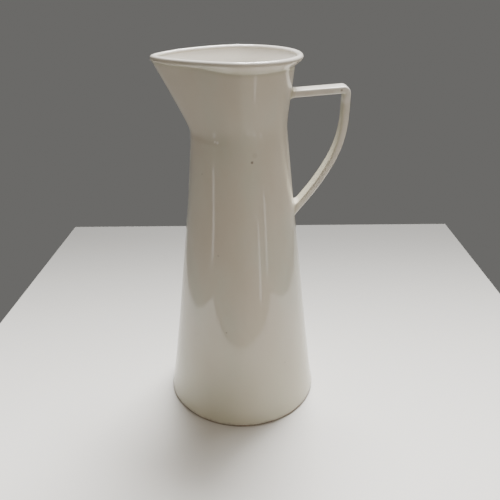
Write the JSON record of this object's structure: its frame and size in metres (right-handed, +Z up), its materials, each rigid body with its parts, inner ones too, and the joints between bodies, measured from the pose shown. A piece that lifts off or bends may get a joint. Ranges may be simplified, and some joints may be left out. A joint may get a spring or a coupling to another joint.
{
  "type": "pouring jug",
  "caption": "Tall tapered glazed pottery pouring jug with a waisted neck, a flared lip drawn out to a beak, and a flat strap handle.",
  "frame": {"origin": "centre of the bare clay ring that the jug stands on, on the plane of the table", "axes": "+Z up along the jug's axis, -X towards the beak's tip, +X towards the handle, Y across"},
  "size_m": [0.0977, 0.0874, 0.1969],
  "materials": {
    "glaze": "clear, slightly creamy gloss glaze over a white clay body",
    "bare_clay": "unglazed, fine and dry, soiled along its lower edge"
  },
  "bodies": {
    "root": {"body": "glaze", "foot_ring": "bare_clay", "handle": "glaze", "upper_handle_joint": "glaze", "lower_handle_joint": "glaze"}
  },
  "joints": []
}
